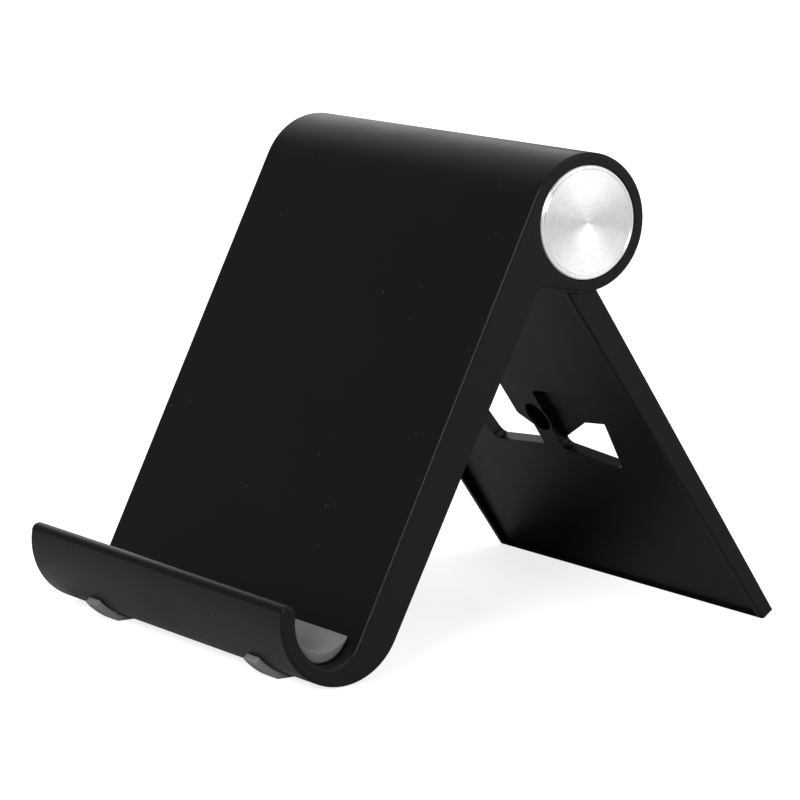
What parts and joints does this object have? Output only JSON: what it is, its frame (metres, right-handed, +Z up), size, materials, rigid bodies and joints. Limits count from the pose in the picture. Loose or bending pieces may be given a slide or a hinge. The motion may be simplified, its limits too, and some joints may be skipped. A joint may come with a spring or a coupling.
{
  "type": "folding phone and tablet stand",
  "caption": "Folding A-frame desktop stand for a phone or small tablet: a cradle with a rubber-lined, turned-up trough, hinged by a stiff barrel to a flat rear leg.",
  "frame": {"origin": "on the table under the middle of the open stand's bounding box", "axes": "+X to the user's right along the hinge, +Y from the trough back towards the leg, +Z up"},
  "size_m": [0.0802, 0.0981, 0.0806],
  "materials": {
    "shell_plastic": "satin black moulding with a fine even texture",
    "liner_rubber": "matt dark grey soft rubber",
    "foot_rubber": "matt dark grey rubber",
    "disc_aluminium": "circular spun brushing, bevelled rim",
    "foam_tape": "dull white adhesive foam",
    "steel": "zinc plated, dull",
    "brass": "machined",
    "nylon": "natural nylon, smooth"
  },
  "bodies": {
    "cradle": {"cradle_shell": "shell_plastic", "trough_liner": "liner_rubber", "foot_left": "foot_rubber", "foot_right": "foot_rubber", "end_disc_left": "disc_aluminium", "end_disc_right": "disc_aluminium", "disc_tape_left": "foam_tape", "disc_tape_right": "foam_tape", "pivot_bush_left": "steel", "pivot_bush_right": "steel"},
    "leg": {"leg_shell": "shell_plastic", "thread_insert_left": "brass", "thread_insert_right": "brass", "friction_washer_left": "nylon", "friction_washer_right": "nylon", "flat_washer_left": "steel", "flat_washer_right": "steel", "spring_washer_left": "steel", "spring_washer_right": "steel", "pivot_screws": "steel"}
  },
  "joints": [
    {"name": "leg_hinge", "type": "hinge", "parent": "cradle", "child": "leg", "pos_m": [0, 0.00937, 0.06945], "axis": [1, 0, 0], "range_deg": [-61, 38.8]}
  ]
}
